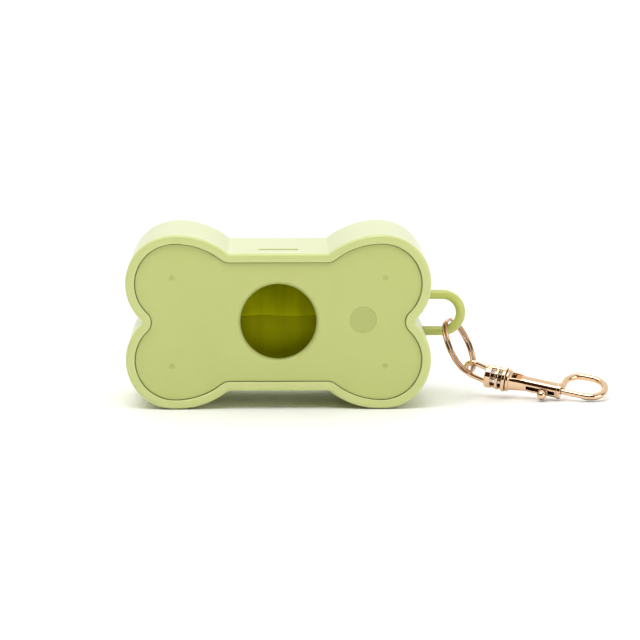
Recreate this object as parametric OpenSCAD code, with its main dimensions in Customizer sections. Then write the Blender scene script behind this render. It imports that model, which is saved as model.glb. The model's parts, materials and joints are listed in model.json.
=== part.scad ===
// Bone-shaped waste bag dispenser with a side loop, a split ring and a swivel bolt snap.
// Millimetres, +Z up. The origin is the centre of the round bag hole, at the middle of its straight wall.
// The front face looks towards -Y, and the loop and the snap hang off the +X end.

/* [Case outline] */
// Distance of each lobe's centre from the middle, along X
lobe_x = 30.4; // [26:0.1:36]
// Distance of each lobe's centre from the middle, along Z
lobe_z = 11.3; // [9.5:0.1:12.5]
// Radius of the lobes at the four corners
lobe_r = 14.6; // [13.4:0.1:16]
// Radius of the shoulders that run from the lobes into the neck
shoulder_r = 24.9; // [20:0.1:32]
// Half the height of the neck between the lobes
neck_z = 20.4; // [19.2:0.1:22]
// Rounding of the notches at both ends and of the neck's corners
notch_r = 1.0; // [0.5:0.1:1.6]

/* [Case depth and walls] */
// Depth of the case from its front rim to its back
case_depth = 42; // [39:0.5:52]
// Width of the rim around the cover
rim_w = 2.7; // [2:0.1:3.2]
// Width of the ledge behind the rim, on which the cover sits
ledge_w = 0.5; // [0.3:0.1:1]
// Thickness of the back wall
back_wall = 2.2; // [1.6:0.1:3]
// Rounding of the rim's outer front edge
front_round = 1.0; // [0.5:0.1:1.6]
// Rounding of the back edge
back_round = 1.4; // [0.5:0.1:2]

/* [Front cover] */
// Thickness of the cover plate
cover_t = 2.0; // [1.6:0.1:3]
// Depth of the cover's face behind the rim's front
cover_recess = 0.8; // [0.4:0.1:1.5]
// Gap between the cover's edge and the rim
cover_gap = 0.15; // [0.1:0.05:0.3]
// Radius of the hole through which the bags are pulled
hole_r = 11.2; // [9:0.1:12.5]
// Length of the hole's straight wall
hole_wall = 2.0; // [1.5:0.1:3]
// Radius of the rounding around the hole's front edge
hole_round = 1.2; // [0.6:0.1:1.8]
// Width of the collar around the hole, behind the cover
collar_w = 1.8; // [1.2:0.1:3]
// Distance of the bare sunk disc's centre from the hole's centre
badge_x = 24.9; // [20:0.1:27]
// Height of the sunk disc's centre over the hole's centre
badge_z = 0.5; // [0:0.1:1]
// Radius of the bare sunk disc
badge_r = 4.35; // [3:0.05:5]
// Depth of the sunk disc
badge_depth = 0.3; // [0.2:0.05:0.6]
// Width of the raised edge around the sunk disc
badge_edge = 0.35; // [0.2:0.05:0.6]

/* [Pegs and sockets] */
// Distance of the pegs from the middle, along X
peg_x = 31.4; // [30:0.1:33]
// Distance of the pegs from the middle, along Z
peg_z = 13.1; // [11:0.1:15]
// Radius of the cover's pegs
peg_r = 1.5; // [1:0.1:2]
// Length of the pegs behind the cover
peg_len = 20; // [12:0.5:26]
// How far each peg goes into its socket
peg_grip = 6; // [3:0.5:8]
// Gap between a peg and its socket, on the radius
peg_gap = 0.05; // [0.02:0.01:0.1]
// Thickness of a socket's wall
socket_wall = 1.0; // [0.8:0.1:1.2]
// Radius of the small dimple in front of each peg
dimple_r = 0.75; // [0.4:0.05:1]
// Depth of the dimples
dimple_depth = 0.3; // [0.1:0.05:0.5]

/* [Tongues and slots] */
// Length of the slots in the neck's top and bottom walls
slot_w = 11.8; // [8:0.1:16]
// Width of the slots, along the depth
slot_d = 3.2; // [2:0.1:4]
// Distance of the slots from the front rim
slot_y = 9.0; // [7:0.1:12]
// Thickness of the cover's tongues
tongue_t = 1.3; // [1:0.1:1.6]
// Gap beside and above a tongue
tongue_gap = 0.25; // [0.15:0.05:0.4]

/* [Side loop] */
// Radius of the loop's rod
loop_rod_r = 1.45; // [1.2:0.05:1.8]
// Distance of the loop's legs from the middle, along Z
loop_leg_z = 5.5; // [4.8:0.1:7]
// Reach of the rod's centre line beyond the case's middle, along X
loop_reach = 54.75; // [52:0.25:60]
// Gap between a leg and its hole in the wall, on the radius
loop_fit = 0.05; // [0.02:0.01:0.1]
// Radius of the head that holds each leg inside the case
loop_head_r = 2.2; // [2:0.1:2.5]
// Thickness of the heads
loop_head_t = 1.2; // [0.8:0.1:1.6]

/* [Bag roll] */
// Radius of the full roll
roll_r = 15; // [12:0.1:15.4]
// Length of the roll
roll_len = 56; // [45:0.5:57]
// Outer radius of the cardboard core
core_r = 6.8; // [5:0.1:8]
// Wall of the core
core_wall = 1.1; // [0.8:0.1:2]
// How far the core stands out at each end of the roll
core_stub = 0.5; // [0:0.1:1]
// Thickness of the folded end of the film on the roll
lead_t = 0.35; // [0.3:0.05:0.5]
// Width of the end of the film
lead_w = 44; // [24:1:52]
// Angle over which the end of the film lies on the roll
lead_angle = 70; // [30:1:90]
// Height above the roll's middle at which the end of the film hangs
lead_hem = 2.3; // [0:0.1:8]
// Gap under the roll when it lies in the neck
roll_gap = 0.7; // [0.5:0.05:1.2]

/* [Split ring] */
// Radius of the ring's centre line
ring_r = 8.5; // [8:0.1:10]
// Diameter of the ring's wire
ring_wire = 0.8; // [0.6:0.05:0.9]
// Distance between the ring's two turns
ring_pitch = 1.25; // [1.22:0.01:1.4]
// Place on the loop's bend where the ring hangs
ring_hang = 27.5; // [10:0.5:45]
// Lean of the ring towards +X
ring_lean = 27; // [20:1:40]
// Turn of the ring towards the front
ring_twist = 19; // [10:1:25]
// Place on the ring where its wire starts, from its highest point
ring_start = 60; // [0:5:90]
// Gap between the ring and the loop's rod
ring_gap = 0.35; // [0.3:0.05:0.8]
// Place on the ring that the eye holds, from its lowest point towards the back
ring_hold = 10; // [0:1:20]

/* [Swivel eye] */
// Radius of the bow's rod
bow_rod_r = 0.8; // [0.7:0.05:0.9]
// Radius of the bow's round end, and distance of its arms from the middle
bow_r = 2.4; // [2.3:0.05:2.45]
// Radius of the two bars that join the ribs
bar_r = 0.8; // [0.6:0.05:0.9]
// Distance of the bars from the axis
bar_y = 3.1; // [2.9:0.05:3.2]
// Length of the bow's straight arms
bow_len = 4.95; // [4:0.05:6]
// Tilt of the bow on its ribs
bow_tilt = 14; // [0:1:18]
// Distance from the end rib to where the bow's arms start
bow_start = 5.1; // [4.9:0.05:5.3]
// Distance from the end rib to the thick rib beside the bow
rib_far = 4.85; // [4.7:0.05:5]
// Thickness of the thick rib
rib_far_t = 1.9; // [1.6:0.1:2]
// Distance from the end rib to the thin rib
rib_near = 2.05; // [1.9:0.05:2.2]
// Thickness of the thin rib
rib_near_t = 0.9; // [0.8:0.1:1.2]
// Radius of the thick and the thin rib
rib_r = 3.6; // [3.55:0.05:3.75]
// Thickness of the end rib
rib_t = 1.1; // [0.8:0.1:1.4]
// Radius of the end rib that bears on the hook
flange_r = 3.8; // [3.5:0.1:4]

/* [Swivel pin] */
// Radius of the pin inside the ribs
pin_r = 0.95; // [0.8:0.05:1.2]
// Radius of the pin's neck in the hook's tail
pin_neck_r = 0.65; // [0.5:0.05:0.8]
// Radius of the pin's riveted head
pin_head_r = 1.1; // [0.9:0.05:1.15]
// Thickness of the head
pin_head_t = 0.7; // [0.5:0.05:0.9]
// Play between the end rib, the hook's tail and the head
swivel_play = 0.15; // [0.1:0.05:0.25]

/* [Hook body] */
// Radius of the tail beside the end rib
tail_r = 3.1; // [2.6:0.1:3.4]
// Radius of the tail where it meets the barrel
tail_end_r = 2.3; // [2.2:0.1:2.6]
// Radius of the rim round the tail's start
tail_rim_r = 3.5; // [3.2:0.1:3.7]
// Thickness of that rim
tail_rim_t = 0.9; // [0.6:0.1:1.1]
// Thickness of the tail's wall in front of the end rib
tail_wall = 1.5; // [1.2:0.1:1.6]
// Length of the tapered tail
tail_len = 5.3; // [5:0.1:7]
// Thickness of the tail across its window
tail_t = 4.4; // [4.2:0.1:5]
// Length of the window in the tail
window_len = 3.0; // [2.4:0.1:3.2]
// Width of the window in the tail
window_w = 2.6; // [2.4:0.1:3]
// Width over the flats of the barrel
barrel_w = 4.2; // [3.8:0.1:4.8]
// Length of the barrel
barrel_len = 11.5; // [11:0.1:14]
// Thickness of the wall between the tail's window and the bore
bore_wall = 0.45; // [0.3:0.05:0.6]
// Length of the collar at the barrel's mouth
collar_len = 1.0; // [0.6:0.1:1.5]
// Height of the collar over the barrel's flats
collar_step = 0.15; // [0.1:0.05:0.3]
// Length of the barrel's wall in front of the knob's slot
slot_nose_wall = 1.6; // [1.2:0.1:2]
// Radius of the hook's rod
hook_rod_r = 1.05; // [0.9:0.05:1.2]
// How far the hook's rod stands out of the mouth's face
rod_step = 0.85; // [0.5:0.05:0.95]
// Radius of the hook's round end
hook_r = 4.7; // [4.2:0.1:5.5]
// Length of the hook's straight back
hook_back = 2.5; // [1:0.1:5]
// Radius of the bend between the barrel and the hook's back
hook_bend_r = 5.2; // [4:0.1:5.4]

/* [Bolt, knob and spring] */
// Radius of the bolt
bolt_r = 0.85; // [0.7:0.05:1]
// Gap between moving round parts, on the radius
running_gap = 0.08; // [0.03:0.01:0.1]
// Travel of the bolt
bolt_travel = 4.8; // [4:0.1:5]
// Gap between the bolt's tip and the hook's tip
tip_gap = 0.15; // [0.1:0.05:0.3]
// Length of the bolt behind the knob's stem
bolt_tail = 0.2; // [0.1:0.05:0.3]
// Distance of the knob from the barrel's rear end
knob_place = 6.5; // [6.2:0.1:7]
// Radius of the knob's stem
stem_r = 0.55; // [0.4:0.05:0.6]
// Radius of the knob's ball
knob_r = 1.45; // [1.2:0.05:1.7]
// How far the ball is sunk in the knob's skirt
ball_sink = 0.3; // [0.1:0.05:0.5]
// Thickness of the knob's skirt
skirt_t = 0.5; // [0.3:0.1:0.8]
// Gap between the skirt and the barrel
skirt_gap = 0.15; // [0.1:0.05:0.3]
// Wire diameter of the bolt's spring
spring_wire = 0.22; // [0.18:0.01:0.24]
// Gap between the spring and the bore
spring_gap = 0.1; // [0.05:0.01:0.15]
// Least distance between the spring's turns
spring_pitch = 1.4; // [1.3:0.05:1.6]

/* [How the snap lies] */
// Turn of the snap's axis towards the front
snap_yaw = 17; // [10:1:25]
// Slope of the snap's axis, down towards its hook
snap_slope = 9.5; // [5:0.5:12]
// Roll of the hook about the snap's axis
hook_roll = 26; // [15:1:40]
// Roll of the eye about the snap's axis
eye_roll = 115; // [95:1:130]

/* [Hidden] */

plastic = "#C3CD81";
rim_green = "#D0DA8C";
film_green = "#8E9433";
board = "#B9A27E";
rose_gold = "#E0A98A";
copper = "#B87B55";
steel = "#C9C5C0";

$fn = 64;
eps = 0.01;
over = 1;             // how far a cutter runs past the face it cuts
arc_step = 6;         // degrees between the outline's points
fillet_steps = 3;     // flats across a rounded edge of the case
wire_sides = 6;       // sides of the split ring's and the spring's wire
corner_share = 0.54;  // reach of a squared bar's corners, as a share of its width

// Depths along Y, from the origin in the middle of the hole's straight wall.
face_y = -hole_wall / 2 - hole_round;
rim_y = face_y - cover_recess;
plate_back_y = face_y + cover_t;
back_y = rim_y + case_depth;
floor_y = back_y - back_wall;
mid_y = (rim_y + back_y) / 2;
wall_t = rim_w + ledge_w;

// ---- Bone outline ----
// The outline is the inner offset of a slightly larger bone, so that its notches and neck corners are
// rounded, and further offsets of it keep one even distance all round.
base_r = lobe_r + notch_r;
base_shoulder = shoulder_r + notch_r;
base_neck = neck_z + notch_r;
shoulder_z = lobe_z + base_r - base_shoulder;
notch_x = lobe_x + sqrt(pow(base_r, 2) - pow(lobe_z, 2));
notch_a = atan2(lobe_z, notch_x - lobe_x);
corner_a = 180 - asin((base_neck - shoulder_z) / base_shoulder);
corner_x = lobe_x + base_shoulder * cos(corner_a);

// Points on an arc about c, from angle a to angle b, without the last one
function arc(c, r, a, b) =
    let (n = max(1, ceil(abs(b - a) / arc_step)))
    [for (i = [0 : n - 1]) c + r * [cos(a + (b - a) * i / n), sin(a + (b - a) * i / n)]];

// The quarter of the outline with +X and +Z, from the notch to the middle of the neck
function quarter(inset) = let (e = inset + notch_r) concat(
    arc([notch_x, 0], e, 180, 180 - notch_a),
    arc([lobe_x, lobe_z], base_r - e, -notch_a, 90),
    arc([lobe_x, shoulder_z], base_shoulder - e, 90, corner_a),
    arc([corner_x, base_neck], e, corner_a - 180, -90),
    [[corner_x, base_neck - e]]);

function reversed(p) = [for (i = [len(p) - 1 : -1 : 0]) p[i]];
function flipped(p, sx, sz) = [for (q = p) [q.x * sx, q.y * sz]];
// The last point of one quarter and the first of the next are different points, except at the notches
function bone(inset) =
    let (q = quarter(inset), open_q = [for (i = [1 : len(q) - 1]) q[i]])
    concat(q, reversed(flipped(q, -1, 1)), flipped(open_q, -1, -1), reversed(flipped(open_q, 1, -1)));

module bone_plate(inset, y0, y1)
    translate([0, y1, 0]) rotate([90, 0, 0]) linear_extrude(y1 - y0) polygon(bone(inset));

// A skin over equal outlines: each entry of rings is [inset, y], from the first cap to the last
module bone_skin(rings) {
    n = len(bone(0));
    points = [for (r = rings) for (p = bone(r[0])) [p.x, r[1], p.y]];
    sides = [for (k = [0 : len(rings) - 2]) for (i = [0 : n - 1])
        let (a = k * n + i, b = k * n + (i + 1) % n) each [[a, a + n, b], [b, a + n, b + n]]];
    first_cap = [[for (i = [0 : n - 1]) i]];
    last_cap = [[for (i = [n - 1 : -1 : 0]) (len(rings) - 1) * n + i]];
    polyhedron(points, concat(sides, first_cap, last_cap), convexity = 6);
}

// ---- Helpers ----
module along_y(y0, y1, r, r_end = -1)
    translate([0, y0, 0]) rotate([-90, 0, 0]) cylinder(h = y1 - y0, r1 = r, r2 = r_end < 0 ? r : r_end);

module along_x(x0, x1, r, r_end = -1)
    translate([x0, 0, 0]) rotate([0, 90, 0]) cylinder(h = x1 - x0, r1 = r, r2 = r_end < 0 ? r : r_end);

module four_corners(x, z)
    for (sx = [-1, 1], sz = [-1, 1]) translate([sx * x, 0, sz * z]) children();

// A round rod in the XY plane between two points
module rod(p, q, r)
    translate([p.x, p.y, 0]) rotate([0, 0, atan2(q.y - p.y, q.x - p.x)]) along_x(0, norm(q - p), r);

// A round rod bent about c in the XY plane, from angle a over the given sweep
module bent_rod(c, bend_r, r, a, sweep)
    translate([c.x, c.y, 0]) rotate([0, 0, a]) rotate_extrude(angle = sweep) translate([bend_r, 0]) circle(r);

// Centre line of a coil about the X axis: [point, outward direction] at each step, with straight ends
function coil_line(r, pitch, turns, steps, lead) =
    let (n = turns * steps, da = 360 / steps, run = pitch / steps,
         first = [[0, r, 0], [0, 1, 0]],
         last = [[pitch * turns, r * cos(n * da), r * sin(n * da)], [0, cos(n * da), sin(n * da)]])
    concat([[first[0] - [0, 0, lead], first[1]]],
        [for (i = [0 : n]) [[run * i, r * cos(i * da), r * sin(i * da)], [0, cos(i * da), sin(i * da)]]],
        [[last[0] + lead * [0, -last[1].z, last[1].y], last[1]]]);

module coil_tube(line, wire_r, sides) {
    points = [for (s = line) for (j = [0 : sides - 1])
        s[0] + wire_r * (cos(360 * j / sides) * s[1] + sin(360 * j / sides) * [1, 0, 0])];
    walls = [for (k = [0 : len(line) - 2]) for (j = [0 : sides - 1])
        let (a = k * sides + j, b = k * sides + (j + 1) % sides)
        each [[a, b, a + sides], [b, b + sides, a + sides]]];
    polyhedron(points, concat(walls, [[for (j = [sides - 1 : -1 : 0]) j]],
        [[for (j = [0 : sides - 1]) (len(line) - 1) * sides + j]]), convexity = 10);
}

// Least distance between parts of a coil's surface that are more than half a turn apart
function coil_gap(line, wire_d, steps) =
    min([for (i = [0 : len(line) - 1]) for (j = [i + ceil(steps * 0.6) : 1 : len(line) - 1])
        norm(line[i][0] - line[j][0])]) - wire_d;

function turn_x(a, p) = [p.x, p.y * cos(a) - p.z * sin(a), p.y * sin(a) + p.z * cos(a)];
function turn_y(a, p) = [p.x * cos(a) + p.z * sin(a), p.y, p.z * cos(a) - p.x * sin(a)];
function turn_z(a, p) = [p.x * cos(a) - p.y * sin(a), p.x * sin(a) + p.y * cos(a), p.z];
function turned(a, p) = turn_z(a.z, turn_y(a.y, turn_x(a.x, p)));

// ---- Case ----
socket_r = peg_r + peg_gap + socket_wall;
socket_y = plate_back_y + peg_len - peg_grip;
slot_front = rim_y + slot_y;

module case_tray() {
    back_edge = [for (i = [0 : fillet_steps]) let (a = 90 * i / fillet_steps)
        [back_round * (1 - sin(a)), back_y - back_round * (1 - cos(a))]];
    front_edge = [for (i = [0 : fillet_steps]) let (a = 90 * (1 - i / fillet_steps))
        [front_round * (1 - sin(a)), rim_y + front_round * (1 - cos(a))]];
    inside = [[rim_w, rim_y], [rim_w, plate_back_y], [wall_t, plate_back_y], [wall_t, floor_y]];
    bone_skin(concat(back_edge, front_edge, inside));
}

module case() color(rim_green) difference() {
    union() {
        case_tray();
        four_corners(peg_x, peg_z) along_y(socket_y, floor_y + eps, socket_r);
    }
    four_corners(peg_x, peg_z) along_y(socket_y - over, floor_y - eps, peg_r + peg_gap);
    for (s = [-1, 1])
        translate([-slot_w / 2, slot_front, s > 0 ? neck_z - wall_t - over : -neck_z - over])
            cube([slot_w, slot_d, wall_t + 2 * over]);
    for (s = [-1, 1])
        translate([0, mid_y, s * loop_leg_z]) along_x(lobe_x, lobe_x + lobe_r + over, loop_rod_r + loop_fit);
}

// ---- Front cover ----
cover_inset = rim_w + cover_gap;
collar_back_y = hole_wall / 2;
tongue_top = neck_z - wall_t - tongue_gap;
tongue_back = slot_front + slot_d + over;
tongue_w = slot_w - 2 * tongue_gap;

// Rounds the front edge of the hole: a flare whose wall is a quarter circle
module hole_flare() rotate([-90, 0, 0]) rotate_extrude()
    difference() {
        translate([hole_r - eps, face_y - eps]) square([hole_round + eps, hole_round + eps]);
        translate([hole_r + hole_round, face_y + hole_round]) circle(hole_round);
    }

module front_cover() color(plastic) {
    difference() {
        union() {
            bone_plate(cover_inset, face_y, plate_back_y);
            along_y(plate_back_y - eps, collar_back_y, hole_r + collar_w);
            four_corners(peg_x, peg_z) along_y(plate_back_y - eps, plate_back_y + peg_len, peg_r);
            for (s = [-1, 1])
                translate([-tongue_w / 2, plate_back_y - eps, s > 0 ? tongue_top - tongue_t : -tongue_top])
                    cube([tongue_w, tongue_back - plate_back_y, tongue_t]);
        }
        along_y(face_y - over, collar_back_y + over, hole_r);
        hole_flare();
        translate([badge_x, 0, badge_z]) difference() {
            along_y(face_y - over, face_y + badge_depth, badge_r + badge_edge);
            along_y(face_y - 2 * over, face_y + badge_depth + over, badge_r);
        }
        translate([badge_x, 0, badge_z]) along_y(face_y - over, face_y + badge_depth / 2, badge_r - badge_edge);
        four_corners(peg_x, peg_z) along_y(face_y - over, face_y + dimple_depth, dimple_r);
    }
}

// ---- Side loop ----
bend_x = loop_reach - loop_leg_z;
head_x = lobe_x + sqrt(pow(lobe_r - wall_t, 2) - pow(lobe_z - loop_leg_z + loop_head_r, 2)) - loop_fit;

module carry_loop() color(plastic) translate([0, mid_y, 0]) rotate([90, 0, 0]) {
    bent_rod([bend_x, 0], loop_leg_z, loop_rod_r, -90, 180);
    for (s = [-1, 1]) {
        translate([0, s * loop_leg_z, 0]) along_x(head_x - eps, bend_x, loop_rod_r);
        translate([0, s * loop_leg_z, 0]) along_x(head_x - loop_head_t, head_x, loop_head_r);
    }
}

// ---- Bag roll ----
roll_y = (collar_back_y + floor_y) / 2;
roll_z = roll_r + lead_t + roll_gap - (neck_z - wall_t);
hem_a = asin(lead_hem / roll_r);

module at_roll() translate([0, roll_y, roll_z]) children();

module bag_roll() color(film_green) at_roll() difference() {
    along_x(-roll_len / 2, roll_len / 2, roll_r);
    along_x(-roll_len / 2 - over, roll_len / 2 + over, core_r);
}

module roll_core() color(board) at_roll() difference() {
    along_x(-roll_len / 2 - core_stub, roll_len / 2 + core_stub, core_r);
    along_x(-roll_len / 2 - core_stub - over, roll_len / 2 + core_stub + over, core_r - core_wall);
}

// The free end of the film comes over the top of the roll and lies down its front
module bag_end() color(film_green) at_roll() rotate([90, 0, -90]) rotate([0, 0, hem_a])
    translate([0, 0, -lead_w / 2]) rotate_extrude(angle = lead_angle)
        translate([roll_r, 0]) square([lead_t, lead_w]);

// ---- Split ring ----
loop_hang = [bend_x + loop_leg_z * sin(ring_hang), mid_y, -loop_leg_z * cos(ring_hang)];
function ring_vec(p) = turn_y(-ring_lean, turn_z(-ring_twist, p));
// The two turns lie side by side, so the rod needs room for the ring's slant too
ring_drop = ring_wire / 2 + loop_rod_r + ring_gap + ring_pitch / 4;
ring_centre = loop_hang - ring_vec([0, 0, ring_r - ring_drop]);
ring_steps = 24;
ring_line = coil_line(ring_r, ring_pitch, 2, ring_steps, ring_wire);

module split_ring() color(copper) translate(ring_centre) rotate([0, -ring_lean, 0])
    rotate([0, 0, -ring_twist]) rotate([ring_start, 0, 0]) translate([-ring_pitch, 0, 0])
        coil_tube(ring_line, ring_wire / 2, wire_sides);

// ---- Swivel snap ----
// The snap's own frame has its origin in the middle of the eye's end rib and +X towards the hook.
bow_base = [-bow_start, 0];
eye_start = -rib_far - rib_far_t / 2;
function bow_point(s, t) = bow_base + [-s * cos(bow_tilt) + t * sin(bow_tilt), s * sin(bow_tilt) + t * cos(bow_tilt)];
band_r = norm([ring_pitch / 2 + ring_wire / 2, ring_wire / 2]);
hold_s = bow_len + bow_r - bow_rod_r - band_r - ring_gap;
hold = bow_point(hold_s, 0);
eye_turn = [eye_roll, snap_slope, -snap_yaw];
hook_turn = [hook_roll, snap_slope, -snap_yaw];
ring_held = ring_centre + ring_vec([0, ring_r * sin(ring_hold), -ring_r * cos(ring_hold)]);
snap_origin = ring_held - turned(eye_turn, [hold.x, hold.y, 0]);

module at_eye() translate(snap_origin) rotate(eye_turn) children();
module at_hook() translate(snap_origin) rotate(hook_turn) children();

module swivel_eye() color(rose_gold) at_eye() difference() {
    union() {
        translate([bow_base.x, bow_base.y, 0]) rotate([0, 0, -bow_tilt]) {
            bent_rod([-bow_len, 0], bow_r, bow_rod_r, 90, 180);
            for (s = [-1, 1]) translate([0, s * bow_r, 0]) along_x(-bow_len, -s * bow_r * tan(bow_tilt), bow_rod_r);
        }
        for (s = [-1, 1]) translate([0, s * bar_y, 0]) along_x(bow_base.x, 0, bar_r);
        along_x(eye_start, eye_start + rib_far_t, rib_r);
        along_x(-rib_near - rib_near_t / 2, -rib_near + rib_near_t / 2, rib_r);
        along_x(-rib_t / 2, rib_t / 2, flange_r);
    }
    along_x(eye_start - over, rib_t / 2 + over, pin_r);
}

tail_x = rib_t / 2 + swivel_play;
window_x = tail_x + tail_wall;
head_seat = window_x + swivel_play;

module swivel_pin() color(steel) at_eye() {
    along_x(eye_start, rib_t / 2, pin_r);
    along_x(rib_t / 2 - eps, head_seat + eps, pin_neck_r);
    along_x(head_seat, head_seat + pin_head_t, pin_head_r);
}

barrel_x = tail_x + tail_len;
mouth_x = barrel_x + barrel_len;
bore_r = bolt_r + running_gap;
stub_x = mouth_x - hook_rod_r + rod_step;
back_v = 2 * hook_r;
round_u = stub_x + hook_bend_r + hook_back;
tip_u = round_u - bolt_r;
bolt_front = tip_u - tip_gap;
knob_u = barrel_x + knob_place;
bolt_rear = knob_u - stem_r - bolt_tail;
spring_x = window_x + window_len + bore_wall;
slot_width = 2 * (stem_r + running_gap);
slot_rear = knob_u - bolt_travel - stem_r - running_gap;
slot_nose = mouth_x - slot_nose_wall;

// A square bar with its corners rounded off
module squared_bar(x0, x1, w) intersection() {
    along_x(x0, x1, w * corner_share);
    translate([x0, -w / 2, -w / 2]) cube([x1 - x0, w, w]);
}

module hook_body() color(rose_gold) at_hook() difference() {
    union() {
        intersection() {
            along_x(tail_x, barrel_x + eps, tail_r, tail_end_r);
            translate([0, -tail_r - over, -tail_t / 2]) cube([barrel_x + over, 2 * tail_r + 2 * over, tail_t]);
        }
        along_x(tail_x, tail_x + tail_rim_t, tail_rim_r);
        squared_bar(barrel_x - over / 2, mouth_x, barrel_w);
        squared_bar(mouth_x - collar_len, mouth_x, barrel_w + 2 * collar_step);
        rod([stub_x, barrel_w / 4], [stub_x, back_v - hook_bend_r], hook_rod_r);
        bent_rod([stub_x + hook_bend_r, back_v - hook_bend_r], hook_bend_r, hook_rod_r, 90, 90);
        rod([stub_x + hook_bend_r, back_v], [round_u, back_v], hook_rod_r);
        bent_rod([round_u, hook_r], hook_r, hook_rod_r, -90, 180);
        rod([tip_u, 0], [round_u, 0], hook_rod_r);
    }
    along_x(tail_x - over, window_x + over / 2, pin_neck_r + running_gap);
    translate([window_x, -window_w / 2, -tail_t]) cube([window_len, window_w, 2 * tail_t]);
    along_x(spring_x, mouth_x + over, bore_r);
    translate([slot_rear, -barrel_w, -slot_width / 2]) cube([slot_nose - slot_rear, barrel_w, slot_width]);
}

module bolt() color(rose_gold) at_hook() difference() {
    along_x(bolt_rear, bolt_front, bolt_r);
    translate([knob_u, 0, 0]) along_y(-bolt_r - over, 0, stem_r);
}

knob_v = barrel_w / 2 + skirt_gap;

module thumb_knob() color(rose_gold) at_hook() translate([knob_u, 0, 0]) {
    along_y(-knob_v - skirt_t - eps, 0, stem_r);
    along_y(-knob_v - skirt_t, -knob_v, knob_r);
    translate([0, -knob_v - skirt_t - knob_r + ball_sink, 0]) sphere(knob_r);
}

spring_steps = 8;
spring_r = bore_r - spring_wire / 2 - spring_gap;
spring_turns = floor((bolt_rear - spring_x - spring_wire) / spring_pitch);
spring_fit = (bolt_rear - spring_x - spring_wire) / spring_turns;
spring_line = coil_line(spring_r, spring_fit, spring_turns, spring_steps, spring_wire);

module bolt_spring() color(steel) at_hook() translate([spring_x + spring_wire / 2, 0, 0])
    coil_tube(spring_line, spring_wire / 2, wire_sides);

// Least gap of each wound piece to itself, and the places and directions of the joints
echo(ring_gap_to_itself = coil_gap(ring_line, ring_wire, ring_steps));
echo(spring_gap_to_itself = coil_gap(spring_line, spring_wire, spring_steps));
echo(loop_hang = loop_hang, loop_axis = [cos(ring_hang), 0, sin(ring_hang)]);
echo(ring_centre = ring_centre, ring_axis = ring_vec([1, 0, 0]), ring_held = ring_held);
echo(eye_axis = turned(eye_turn, [0, 0, 1]), snap_origin = snap_origin);
echo(snap_axis = turned(hook_turn, [1, 0, 0]), hook_v = turned(hook_turn, [0, 1, 0]));
echo(hook_w = turned(hook_turn, [0, 0, 1]), knob_u = knob_u, mouth_x = mouth_x, tip_u = tip_u);
echo(mid_y = mid_y, back_y = back_y, floor_y = floor_y, roll_y = roll_y, roll_z = roll_z);

case();
front_cover();
carry_loop();
bag_roll();
roll_core();
bag_end();
split_ring();
swivel_eye();
swivel_pin();
hook_body();
bolt();
thumb_knob();
bolt_spring();
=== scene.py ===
import json
import math
import bpy
from mathutils import Euler, Matrix, Vector, noise


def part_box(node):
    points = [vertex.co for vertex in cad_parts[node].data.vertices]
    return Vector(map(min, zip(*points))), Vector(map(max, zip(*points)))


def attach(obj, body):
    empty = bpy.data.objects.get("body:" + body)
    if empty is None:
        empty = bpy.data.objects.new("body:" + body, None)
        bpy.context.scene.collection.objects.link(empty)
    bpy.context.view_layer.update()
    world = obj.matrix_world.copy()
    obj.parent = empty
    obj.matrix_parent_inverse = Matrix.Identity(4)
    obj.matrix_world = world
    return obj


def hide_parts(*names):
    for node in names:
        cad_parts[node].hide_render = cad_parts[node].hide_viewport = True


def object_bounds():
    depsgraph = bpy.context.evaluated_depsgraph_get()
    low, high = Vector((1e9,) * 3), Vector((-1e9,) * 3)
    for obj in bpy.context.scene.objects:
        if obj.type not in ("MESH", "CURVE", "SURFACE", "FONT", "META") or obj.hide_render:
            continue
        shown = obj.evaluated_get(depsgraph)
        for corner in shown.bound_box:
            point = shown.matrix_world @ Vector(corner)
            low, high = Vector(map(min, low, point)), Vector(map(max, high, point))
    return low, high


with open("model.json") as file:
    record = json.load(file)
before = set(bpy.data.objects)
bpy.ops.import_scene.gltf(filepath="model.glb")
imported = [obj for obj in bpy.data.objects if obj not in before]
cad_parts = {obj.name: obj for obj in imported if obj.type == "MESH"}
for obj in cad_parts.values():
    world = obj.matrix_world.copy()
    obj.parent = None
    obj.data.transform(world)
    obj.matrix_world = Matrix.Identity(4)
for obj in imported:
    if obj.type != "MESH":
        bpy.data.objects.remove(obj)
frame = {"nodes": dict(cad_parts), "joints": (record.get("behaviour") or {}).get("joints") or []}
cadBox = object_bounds()
joints = {joint["name"]: joint for joint in frame["joints"]}
mm = 0.001
print("frame loaded:", len(frame["nodes"]), "nodes")


def boxInMm(node):
    low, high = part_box(node)
    return low / mm, high / mm


def span(start, end, steps):
    return [start + (end - start) * i / steps for i in range(steps + 1)]


def makeMesh(name, points, faces, place=None):
    # points are in millimetres, in the frame that place gives
    mesh = bpy.data.meshes.new(name)
    mesh.from_pydata([Vector(p) * mm for p in points], [], faces)
    obj = bpy.data.objects.new(name, mesh)
    bpy.context.scene.collection.objects.link(obj)
    if place is not None:
        mesh.transform(place)
    mesh.update()
    return obj


def loft(name, rings, place=None, closed=False):
    # rings of equal length, skinned one to the next; the two ends are capped unless it closes on itself
    count = len(rings[0])
    points = [p for ring in rings for p in ring]
    faces = []
    for k in range(len(rings) if closed else len(rings) - 1):
        a, b = k * count, (k + 1) % len(rings) * count
        for i in range(count):
            j = (i + 1) % count
            faces.append((a + i, a + j, b + j, b + i))
    if not closed:
        faces.append(tuple(reversed(range(count))))
        faces.append(tuple(range((len(rings) - 1) * count, len(rings) * count)))
    return makeMesh(name, points, faces, place)


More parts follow.
